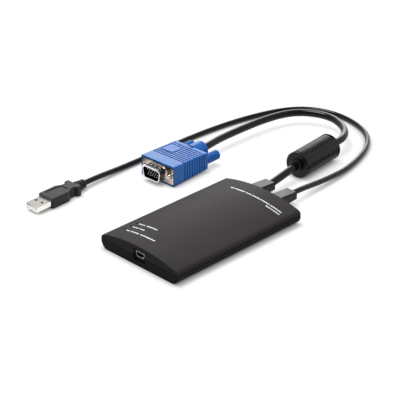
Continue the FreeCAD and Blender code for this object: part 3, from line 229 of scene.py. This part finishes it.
class Value:
    """A socket in a node tree; arithmetic on it adds Math nodes."""

    def __init__(self, shading, socket):
        self.shading = shading
        self.socket = socket

    def __add__(self, other):
        return self.shading.math("ADD", self, other)

    def __radd__(self, other):
        return self.shading.math("ADD", other, self)

    def __sub__(self, other):
        return self.shading.math("SUBTRACT", self, other)

    def __rsub__(self, other):
        return self.shading.math("SUBTRACT", other, self)

    def __mul__(self, other):
        return self.shading.math("MULTIPLY", self, other)

    def __rmul__(self, other):
        return self.shading.math("MULTIPLY", other, self)


class Shading:
    """One node tree, of a shader that shows on its output, and what varies it."""

    def __init__(self, owner, shader, output):
        owner.use_nodes = True
        self.tree = owner.node_tree
        self.tree.nodes.clear()
        self.shader = self.tree.nodes.new(shader)
        surface = self.tree.nodes.new(output).inputs["Surface"]
        self.tree.links.new(self.shader.outputs[0], surface)

    def put(self, socket, value):
        if isinstance(value, Value):
            self.tree.links.new(value.socket, socket)
        elif socket.type == "RGBA":
            socket.default_value = (*value, 1.0)
        else:
            socket.default_value = value

    def feed(self, socket, value):
        self.put(self.shader.inputs[socket], value)

    def node(self, kind, settings, sockets, output=0):
        """Adds a node: its settings first, then its sockets, and returns one of its outputs."""
        node = self.tree.nodes.new(kind)
        for name, value in settings.items():
            if name == "stops":
                self.set_stops(node.color_ramp, value)
            elif name == "interpolation":
                node.color_ramp.interpolation = value
            else:
                setattr(node, name, value)
        for name, value in sockets.items():
            self.put(node.inputs[name], value)
        return Value(self, node.outputs[output])

    def set_stops(self, ramp, stops):
        while len(ramp.elements) < len(stops):
            ramp.elements.new(1.0)
        for element, (position, colour) in zip(ramp.elements, stops):
            element.position = position
            element.color = (*colour, 1.0)

    def math(self, operation, first, second=0.0):
        return self.node("ShaderNodeMath", {"operation": operation}, {0: first, 1: second})

    def place(self):
        return self.node("ShaderNodeTexCoord", {}, {}, "Object")

    def axis(self, place, name):
        return self.node("ShaderNodeSeparateXYZ", {}, {0: place}, name)

    def stretched(self, scale):
        """Places on the piece, stretched for grain that runs one way."""
        return self.node("ShaderNodeMapping", {}, {"Vector": self.place(), "Scale": scale})

    def noise(self, size, detail=2.0, place=None):
        sockets = {"Vector": place or self.place(), "Scale": 1.0 / size, "Detail": detail}
        return self.node("ShaderNodeTexNoise", {}, sockets)

    def spread(self, value, low, high, onto_low, onto_high):
        sockets = {0: value, 1: low, 2: high, 3: onto_low, 4: onto_high}
        return self.node("ShaderNodeMapRange", {}, sockets)

    def rising(self, value, low, high):
        """0 up to the low value, 1 from the high one."""
        return self.spread(value, low, high, 0.0, 1.0)

    def falling(self, value, low, high):
        """1 up to the low value, 0 from the high one."""
        return self.spread(value, low, high, 1.0, 0.0)

    def between(self, factor, first, second):
        """A colour between two, by a factor that may vary."""
        return self.node("ShaderNodeMix", {"data_type": "RGBA"}, {0: factor, 6: first, 7: second}, 2)

    def along(self, vector, way):
        """How far a vector goes one way."""
        return self.node("ShaderNodeVectorMath", {"operation": "DOT_PRODUCT"}, {0: vector, 1: way}, "Value")

    def seen(self):
        """1 for rays that show a thing itself, straight, mirrored or through glass, else 0."""
        rays = ("Is Camera Ray", "Is Glossy Ray", "Is Transmission Ray")
        straight, mirrored, through = (self.node("ShaderNodeLightPath", {}, {}, ray) for ray in rays)
        return self.math("MAXIMUM", self.math("MAXIMUM", straight, mirrored), through)


class Finish(Shading):
    """A material, varied over the surface by places in metres on the piece."""

    def __init__(self, name, **constants):
        self.material = bpy.data.materials.new(name)
        super().__init__(self.material, "ShaderNodeBsdfPrincipled", "ShaderNodeOutputMaterial")
        for socket, value in constants.items():
            self.feed(socket.replace("_", " "), value)

    def bump(self, height, depth):
        self.feed("Normal", self.node("ShaderNodeBump", {}, {"Height": height, "Distance": depth}))


def shade(colour, share):
    return tuple(min(1.0, channel * share) for channel in colour)


def moulded(name, colour, roughness, specular, grain, depth):
    """Moulded plastic: a fine eroded grain, a slow drift of tone and slightly uneven gloss."""
    finish = Finish(name, Specular_IOR_Level=specular)
    fine = finish.noise(grain, GRAIN_DETAIL)
    slow = finish.noise(DRIFT_SIZE)
    tone = finish.rising(fine * GRAIN_IN_TONE + slow * (1.0 - GRAIN_IN_TONE), *NOISE_SPAN)
    dark, pale = (shade(colour, share) for share in DRIFT_TONES)
    smoothest, dullest = (roughness + wander for wander in PLASTIC_WANDER)
    finish.feed("Base Color", finish.between(tone, dark, pale))
    finish.feed("Roughness", finish.spread(slow + fine * GRAIN_IN_GLOSS, *GLOSS_SPAN, smoothest, dullest))
    finish.bump(fine, depth)
    return finish.material


def housing_plastic():
    return moulded(
        "housing_plastic",
        colour=(0.046, 0.041, 0.0445),
        roughness=0.46,
        specular=0.03,
        grain=0.35 * MM,
        depth=0.010 * MM,
    )


# The bottom cover: a darker copy of the housing's plastic, as painted shade on the lower part of the housing
def shaded_housing_plastic():
    return moulded(
        "shaded_housing_plastic",
        colour=(0.026, 0.023, 0.025),
        roughness=0.46,
        specular=0.03,
        grain=0.35 * MM,
        depth=0.010 * MM,
    )


def relief_plastic():
    return moulded(
        "relief_plastic",
        colour=(0.012, 0.0112, 0.0118),
        roughness=0.30,
        specular=0.19,
        grain=0.5 * MM,
        depth=0.004 * MM,
    )


def grip_plastic():
    return moulded(
        "grip_plastic",
        colour=(0.030, 0.0275, 0.0305),
        roughness=0.36,
        specular=0.205,
        grain=0.4 * MM,
        depth=0.008 * MM,
    )


def sleeve_plastic():
    return moulded(
        "sleeve_plastic",
        colour=(0.0105, 0.0098, 0.0112),
        roughness=0.31,
        specular=0.225,
        grain=0.4 * MM,
        depth=0.005 * MM,
    )


def blue_hood():
    return moulded(
        "blue_hood",
        colour=(0.018, 0.138, 0.470),
        roughness=0.30,
        specular=0.23,
        grain=0.5 * MM,
        depth=0.003 * MM,
    )


def knob_plastic():
    return moulded(
        "knob_plastic",
        colour=(0.011, 0.118, 0.450),
        roughness=0.30,
        specular=0.22,
        grain=0.5 * MM,
        depth=0.003 * MM,
    )


def black_insulator():
    return moulded(
        "black_insulator",
        colour=(0.004, 0.004, 0.004),
        roughness=0.5,
        specular=0.08,
        grain=0.3 * MM,
        depth=0.004 * MM,
    )


def header_plastic():
    return moulded(
        "header_plastic",
        colour=(0.88, 0.87, 0.83),
        roughness=0.36,
        specular=0.5,
        grain=0.4 * MM,
        depth=0.006 * MM,
    )


def chip_plastic():
    return moulded(
        "chip_plastic",
        colour=(0.020, 0.020, 0.022),
        roughness=0.55,
        specular=0.4,
        grain=0.15 * MM,
        depth=0.006 * MM,
    )


def lamp_package():
    return moulded(
        "lamp_package",
        colour=(0.85, 0.84, 0.74),
        roughness=0.3,
        specular=0.5,
        grain=0.2 * MM,
        depth=0.002 * MM,
    )


def ferrite():
    return moulded(
        "ferrite",
        colour=(0.030, 0.029, 0.030),
        roughness=0.62,
        specular=0.4,
        grain=0.12 * MM,
        depth=0.010 * MM,
    )


def roof_print():
    return moulded(
        "roof_print",
        colour=(0.96, 0.96, 0.96),
        roughness=0.5,
        specular=0.3,
        grain=0.2 * MM,
        depth=0.003 * MM,
    )


def cable_jacket():
    """Soft jacket: satin black with a slow wander in its gloss."""
    dark, pale = (0.005, 0.0045, 0.0055), (0.009, 0.0085, 0.0095)
    smoothest, dullest = 0.11, 0.18
    fine_in_gloss = 0.3
    finish = Finish("cable_jacket", Specular_IOR_Level=0.26)
    slow = finish.noise(size=9.0 * MM)
    fine = finish.noise(size=0.6 * MM)
    uneven = slow * (1.0 - fine_in_gloss) + fine * fine_in_gloss
    finish.feed("Base Color", finish.between(slow, dark, pale))
    finish.feed("Roughness", finish.spread(uneven, *NOISE_SPAN, smoothest, dullest))
    finish.bump(fine, depth=0.002 * MM)
    return finish.material


def metal(name, colour, roughness, stretch, depth=LINE_DEPTH):
    """Plated or drawn metal with fine lines that run one way."""
    finish = Finish(name, Metallic=1.0)
    lines = finish.noise(LINE_SIZE, place=finish.stretched(stretch))
    cloud = finish.noise(CLOUD_SIZE)
    uneven = lines * LINES_IN_GLOSS + cloud * (1.0 - LINES_IN_GLOSS)
    dark, pale = (shade(colour, share) for share in CLOUD_TONES)
    smoothest, dullest = (roughness + wander for wander in METAL_WANDER)
    finish.feed("Base Color", finish.between(cloud, dark, pale))
    finish.feed("Roughness", finish.spread(uneven, *NOISE_SPAN, smoothest, dullest))
    finish.bump(lines, depth)
    return finish.material


def socket_sheet():
    return metal(
        "socket_sheet",
        colour=(0.30, 0.30, 0.305),
        roughness=0.32,
        stretch=(1.0, 0.1, 1.0),
        depth=0.0003 * MM,
    )


def screw_steel():
    return metal("screw_steel", colour=(0.55, 0.55, 0.56), roughness=0.32, stretch=(1.0, 1.0, 1.0))


def jackscrew_steel():
    return metal("jackscrew_steel", colour=(0.72, 0.70, 0.66), roughness=0.26, stretch=(1.0, 0.3, 1.0))


def can_metal():
    return metal("can_metal", colour=(0.70, 0.70, 0.70), roughness=0.3, stretch=(0.2, 1.0, 1.0))


def gold_contact():
    return metal("gold_contact", colour=(0.83, 0.62, 0.27), roughness=0.25, stretch=(1.0, 0.1, 1.0))


def plated_shell():
    """The data plug's shell: bright plating whose gloss is dulled by scuffing, more on its upper face, which
    painted shade greys in fine blotches.
    """
    bright, top_shade_grey = (0.90, 0.89, 0.86), (0.37, 0.36, 0.335)
    plain, by_wear, by_scuffs = 0.20, 0.10, 0.06
    finish = Finish("plated_shell", Metallic=1.0)
    height = finish.axis(finish.place(), "Z")
    scuffs_and_top_shade = finish.noise(size=0.7 * MM, detail=GRAIN_DETAIL)
    upper = finish.rising(height, *TOP_SHADE_SPAN)
    top_shade_and_wear = upper * finish.spread(scuffs_and_top_shade, *TOP_SHADE_NOISE, *TOP_SHADE_SHOWN)
    # Painted shade: the upper face turns grey in fine blotches
    finish.feed("Base Color", finish.between(top_shade_and_wear, bright, top_shade_grey))
    finish.feed("Roughness", plain + top_shade_and_wear * by_wear + scuffs_and_top_shade * by_scuffs)
    finish.bump(scuffs_and_top_shade, depth=0.0006 * MM)
    return finish.material


def on_video_plug(finish):
    """How far across the video plug a place lies, and how far ahead of the hood's front."""
    sockets = {"Vector": finish.place(), "Location": PLUG_PLACE, "Rotation": (0.0, 0.0, PLUG_TURN)}
    place = finish.node("ShaderNodeMapping", {"vector_type": "TEXTURE"}, sockets)
    return finish.axis(place, "X"), 0.0 - finish.axis(place, "Y")


def dimple_highlights(finish, across, ahead):
    """Mask of painted highlights: 1 on the skirt's row of dimples, fading to 0 around each of them."""
    half_pitch = DIMPLE_PITCH / 2
    ends = {0: across, 1: half_pitch, 2: -half_pitch}
    aside = finish.node("ShaderNodeMath", {"operation": "WRAP"}, ends) * (1.0 / DIMPLE_STRETCH)
    along = ahead - DIMPLE_AHEAD
    distance = finish.math("SQRT", aside * aside + along * along)
    in_row = finish.falling(finish.math("ABSOLUTE", across), *DIMPLES_ACROSS)
    return in_row * finish.falling(distance, *DIMPLE_HIGHLIGHT_FADE)


def drawn_shell():
    """The video plug's shell: sheet with a warm flash, painted shade on its skirt, and painted highlights on its
    rim and dimples.
    """
    warm, paler = (0.72, 0.58, 0.49), (0.82, 0.68, 0.58)
    painted_shade, bright = (0.085, 0.083, 0.085), (0.86, 0.85, 0.83)
    plain, on_skirt, on_rim, in_dimple, in_cloud = 0.16, 0.10, -0.06, 0.20, 0.04
    finish = Finish("drawn_shell", Metallic=1.0)
    across, ahead = on_video_plug(finish)
    dimple = dimple_highlights(finish, across, ahead)
    cloud = finish.noise(size=1.5 * MM)
    skirt = finish.rising(ahead + cloud * SKIRT_WANDER, *SKIRT_SPAN)
    rim = finish.rising(ahead, *RIM_SPAN)
    # Painted shade: the skirt takes a dark colour
    sheet = finish.between(skirt, finish.between(cloud, warm, paler), painted_shade)
    roughness = plain + skirt * on_skirt + rim * on_rim + dimple * in_dimple + cloud * in_cloud
    # Painted highlights: the rim and the dimples take a bright colour
    finish.feed("Base Color", finish.between(finish.math("MAXIMUM", rim, dimple), sheet, bright))
    finish.feed("Roughness", roughness)
    return finish.material


def pin_plating():
    """The video plug's pins: dark along their sides as painted shade, bright at their tips as a painted highlight.
    """
    painted_shade, bright = (0.03, 0.029, 0.028), (0.90, 0.89, 0.86)
    plain, on_tip, in_cloud = 0.30, 0.12, 0.05
    finish = Finish("pin_plating", Metallic=1.0)
    ahead = on_video_plug(finish)[1]
    cloud = finish.noise(size=0.4 * MM)
    tip = finish.rising(ahead + cloud * PIN_TIP_WANDER, *PIN_TIP_SPAN)
    # Painted shade along the sides, and a painted highlight at the tips
    finish.feed("Base Color", finish.between(tip, painted_shade, bright))
    finish.feed("Roughness", plain + tip * on_tip + cloud * in_cloud)
    return finish.material


def board_laminate():
    """Green mask over paler copper tracks that run across and along the board."""
    mask, over_copper = (0.012, 0.085, 0.035), (0.030, 0.170, 0.070)
    masked, on_track = 0.42, 0.1
    track_size, slimness = 1.6 * MM, 0.06
    track_edge = (0.56, 0.60)
    finish = Finish("board_laminate", Specular_IOR_Level=0.5)
    across = finish.noise(track_size, detail=0.0, place=finish.stretched((1.0, slimness, 1.0)))
    along = finish.noise(track_size, detail=0.0, place=finish.stretched((slimness, 1.0, 1.0)))
    track = finish.rising(finish.math("MAXIMUM", across, along), *track_edge)
    finish.feed("Base Color", finish.between(track, mask, over_copper))
    finish.feed("Roughness", masked - track * on_track)
    finish.bump(track, depth=0.02 * MM)
    return finish.material


def lead_jacket():
    """Insulated cores, each of its own colour across the ribbon that they make."""
    ribbon_repeat = 5.0 * MM
    smoothest, dullest = 0.38, 0.5
    stops = [
        (0.0, (0.30, 0.02, 0.02)),
        (0.25, (0.02, 0.02, 0.02)),
        (0.5, (0.02, 0.20, 0.04)),
        (0.75, (0.55, 0.55, 0.52)),
    ]
    settings = {"interpolation": "CONSTANT", "stops": stops}
    finish = Finish("lead_jacket", Specular_IOR_Level=0.4)
    uneven = finish.noise(size=1.0 * MM)
    hue = finish.math("FRACT", finish.axis(finish.place(), "X") * (1.0 / ribbon_repeat))
    finish.feed("Base Color", finish.node("ShaderNodeValToRGB", settings, {0: hue}))
    finish.feed("Roughness", finish.spread(uneven, *NOISE_SPAN, smoothest, dullest))
    return finish.material


def clear_pipe():
    """Clear plastic, slightly cloudy, coloured near-black as painted shade for the dark inside that shows through
    its ends at the roof.
    """
    dark, pale = (0.004, 0.004, 0.005), (0.009, 0.009, 0.010)
    smoothest, dullest = 0.26, 0.38
    finish = Finish("clear_pipe", Specular_IOR_Level=0.0)
    cloud = finish.noise(size=0.5 * MM)
    # Painted shade: the near-black colour stands in for the dark inside seen through the pipe
    finish.feed("Base Color", finish.between(cloud, dark, pale))
    finish.feed("Roughness", finish.spread(cloud, *NOISE_SPAN, smoothest, dullest))
    return finish.material


# The finish of each slot, under the slot's own name
FINISHES = [
    housing_plastic,
    relief_plastic,
    screw_steel,
    board_laminate,
    chip_plastic,
    can_metal,
    header_plastic,
    lead_jacket,
    plated_shell,
    black_insulator,
    gold_contact,
    lamp_package,
    clear_pipe,
    cable_jacket,
    sleeve_plastic,
    ferrite,
    blue_hood,
    knob_plastic,
    jackscrew_steel,
    grip_plastic,
]

# Nodes whose finish is not the one of their slot
OWN_FINISHES = {
    "bottom_cover": shaded_housing_plastic,
    "video_plug_shell": drawn_shell,
    "video_plug_pins": pin_plating,
    "socket_shell": socket_sheet,
}


def dress_nodes(materials):
    """Gives each CAD node its own finish, or that of its slot."""
    for name, node in NODES.items():
        own = OWN_FINISHES.get(name)
        node.data.materials.clear()
        node.data.materials.append(own() if own else materials[SLOT_OF[name]])


def add_piece(name, data, material, body):
    piece = bpy.data.objects.new(name, data)
    bpy.context.scene.collection.objects.link(piece)
    data.materials.append(material)
    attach(piece, body)
    return piece


def add_mesh(name, shape, material, body):
    """A piece from a bmesh, shaded smooth up to sharp edges."""
    mesh = bpy.data.meshes.new(name)
    bmesh.ops.recalc_face_normals(shape, faces=shape.faces)
    shape.to_mesh(mesh)
    shape.free()
    mesh.shade_smooth()
    mesh.set_sharp_from_angle(angle=SHARP_EDGE)
    return add_piece(name, mesh, material, body)


def cable_curve(name, route, diameter):
    """A round cable whose smooth line has the route's turns as its control points."""
    curve = bpy.data.curves.new(name, "CURVE")
    curve.dimensions = "3D"
    curve.bevel_depth = diameter / 2
    curve.bevel_resolution = CABLE_ROUNDNESS
    curve.resolution_u = CABLE_STEPS
    curve.use_fill_caps = True
    spline = curve.splines.new("NURBS")
    spline.points.add(len(route) - 1)
    for point, place in zip(spline.points, route):
        point.co = (*place, 1.0)
    spline.order_u = SPLINE_ORDER
    spline.use_endpoint_u = True
    return curve


def add_cable(name, tube, route, diameter, material):
    """A free cable in place of its CAD tube."""
    cable = add_piece(name, cable_curve(name, route, diameter), material, "adapter")
    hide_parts(tube)


def add_cables(material):
    add_cable(
        "video_lead",
        "video_cable",
        VIDEO_ROUTE,
        VIDEO_CABLE_DIAMETER,
        material,
    )
    add_cable(
        "data_lead",
        "data_cable",
        DATA_ROUTE,
        DATA_CABLE_DIAMETER,
        material,
    )


def thread_radius(along, angle):
    """The screw's radius at a distance from its end and an angle: plain shank, thread, then lead-in."""
    to_tip = SCREW_TIP - SCREW_END - along
    radius = SCREW_RADIUS
    if to_tip < THREAD_LENGTH:
        phase = (along / THREAD_PITCH - angle / (2 * math.pi)) % 1.0
        radius -= THREAD_DEPTH * (1.0 - abs(2.0 * phase - 1.0))
    return radius - max(0.0, THREAD_LEAD_IN - to_tip)


def screw_ring(shape, along):
    """One ring of corners round the screw, at a distance from its end."""
    ring = []
    for i in range(SCREW_SIDES):
        angle = 2 * math.pi * i / SCREW_SIDES
        radius = thread_radius(along, angle)
        corner = (radius * math.cos(angle), radius * math.sin(angle), SCREW_END + along)
        ring.append(shape.verts.new(corner))
    return ring


def jackscrew(side, material):
    """A threaded jackscrew on its joint's axis, which turns with its knob."""
    joint = next(j for j in frame["joints"] if j["child"] == side + "_thumbscrew")
    forward = Vector(joint["axis"]).normalized()
    turned = forward.to_track_quat("Z", "Y").to_matrix().to_4x4()
    shank = SCREW_TIP - SCREW_END - THREAD_LENGTH
    steps = round(THREAD_LENGTH / THREAD_PITCH * RINGS_PER_PITCH)
    levels = [0.0, shank] + [shank + THREAD_LENGTH * (i + 1) / steps for i in range(steps)]
    shape = bmesh.new()
    rings = [screw_ring(shape, along) for along in levels]
    for lower, upper in zip(rings, rings[1:]):
        for i in range(SCREW_SIDES):
            j = (i + 1) % SCREW_SIDES
            shape.faces.new((lower[i], lower[j], upper[j], upper[i]))
    shape.faces.new(rings[0][::-1])
    shape.faces.new(rings[-1])
    shape.transform(Matrix.Translation(Vector(joint["pos_m"])) @ turned)
    piece = add_mesh(side + "_threaded_screw", shape, material, side + "_thumbscrew")
    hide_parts(side + "_jackscrew")
    return piece


def roof_height(x):
    """Height of the arched roof at a distance from its middle."""
    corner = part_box("top_cover")[1]
    rise = corner.z - SIDE_HEIGHT
    radius = (corner.x**2 + rise**2) / (2 * rise)
    return corner.z - radius + math.sqrt(radius**2 - x**2)


def print_tick(shape, x, y, height):
    """One flat tick of print that follows the slope of the arch, with its foot at y."""
    corners = []
    for u, v in ((0.0, 0.0), (TICK_WIDTH, 0.0), (TICK_WIDTH, height), (0.0, height)):
        corners.append((x + u, y + v, roof_height(x + u) + PRINT_LIFT))
    top = [shape.verts.new(corner) for corner in corners]
    foot = [shape.verts.new((u, v, w - PRINT_DEPTH)) for u, v, w in corners]
    shape.faces.new(top)
    shape.faces.new(foot[::-1])
    for i in range(len(top)):
        j = (i + 1) % len(top)
        shape.faces.new((foot[i], foot[j], top[j], top[i]))


def add_print():
    """Rows of plain ticks where the roof carries print, tall ones at even steps among low ones."""
    shape = bmesh.new()
    for y, height, runs in PRINT_ROWS:
        for start, end in runs:
            for i in range(round((end - start) * MM / TICK_PITCH)):
                share = LOW_TICK if i % TALL_EVERY else 1.0
                print_tick(shape, start * MM + i * TICK_PITCH, y - height / 2, height * share)
    add_mesh("roof_print_ticks", shape, roof_print(), "adapter")


def add_floor():
    """A pale floor that looks white, keeps the shadows, and has a painted contact shadow in its glow where
    something almost touches it.
    """
    mesh = bpy.data.meshes.new("studio_floor")
    half = FLOOR_SIZE / 2
    corners = [(-half, -half), (half, -half), (half, half), (-half, half)]
    mesh.from_pydata([(x, y, -FLOOR_DROP) for x, y in corners], [], [(0, 1, 2, 3)])
    floor = bpy.data.objects.new("studio_floor", mesh)
    bpy.context.scene.collection.objects.link(floor)
    finish = Finish("studio_floor", Base_Color=FLOOR_PALE, Roughness=FLOOR_ROUGHNESS, Specular_IOR_Level=0.0)
    finish.feed("Emission Strength", FLOOR_GLOW)
    # Painted contact shadow: ambient occlusion darkens the floor's glow near the object
    open_air = finish.node("ShaderNodeAmbientOcclusion", {}, {"Distance": FLOOR_CONTACT}, "AO")
    finish.feed("Emission Color", finish.between(finish.seen() * open_air, BLACK, WHITE))
    mesh.materials.append(finish.material)


def add_world():
    """Reflections are bright low behind the object, and a soft fill comes from one side."""
    world = bpy.data.worlds.new("studio_world")
    bpy.context.scene.world = world
    sky = Shading(world, "ShaderNodeBackground", "ShaderNodeOutputWorld")
    way = sky.node("ShaderNodeTexCoord", {}, {}, "Generated")
    shown = sky.spread(sky.along(way, SKY_WAY), *SKY_SPAN, *SKY_LEVELS)
    fill = sky.spread(sky.along(way, FILL_WAY), *FILL_SPAN, *FILL_LEVELS)
    seen = sky.seen()
    sky.feed("Color", WHITE)
    sky.feed("Strength", seen * shown + (1.0 - seen) * fill)


def add_softbox(name, place, size, power, aim=MIDDLE, spread=WIDE):
    """A rectangular soft light that faces a place and is not seen itself."""
    lamp = bpy.data.lights.new(name, "AREA")
    lamp.shape = "RECTANGLE"
    lamp.size, lamp.size_y = size
    lamp.energy = power
    lamp.spread = spread
    softbox = bpy.data.objects.new(name, lamp)
    softbox.location = place
    softbox.rotation_euler = (Vector(place) - Vector(aim)).to_track_quat("Z", "Y").to_euler()
    softbox.visible_camera = False
    bpy.context.scene.collection.objects.link(softbox)


def add_camera():
    lens = bpy.data.cameras.new("camera")
    lens.lens = EYE_LENS
    lens.sensor_width = SENSOR
    camera = bpy.data.objects.new("camera", lens)
    camera.location = EYE
    camera.rotation_euler = (EYE_TILT, 0.0, EYE_TURN)
    bpy.context.scene.collection.objects.link(camera)
    bpy.context.scene.camera = camera


def build():
    add_camera()
    materials = {finish.__name__: finish() for finish in FINISHES}
    dress_nodes(materials)
    thumbscrews = [jackscrew(side, materials["jackscrew_steel"]) for side in ("left", "right")]
    add_cables(materials["cable_jacket"])
    add_print()
    add_floor()
    add_world()
    for name, look in SOFTBOXES.items():
        add_softbox(name, **look)
    bpy.context.scene.view_settings.view_transform = "Standard"


build()
bpy.context.view_layer.update()
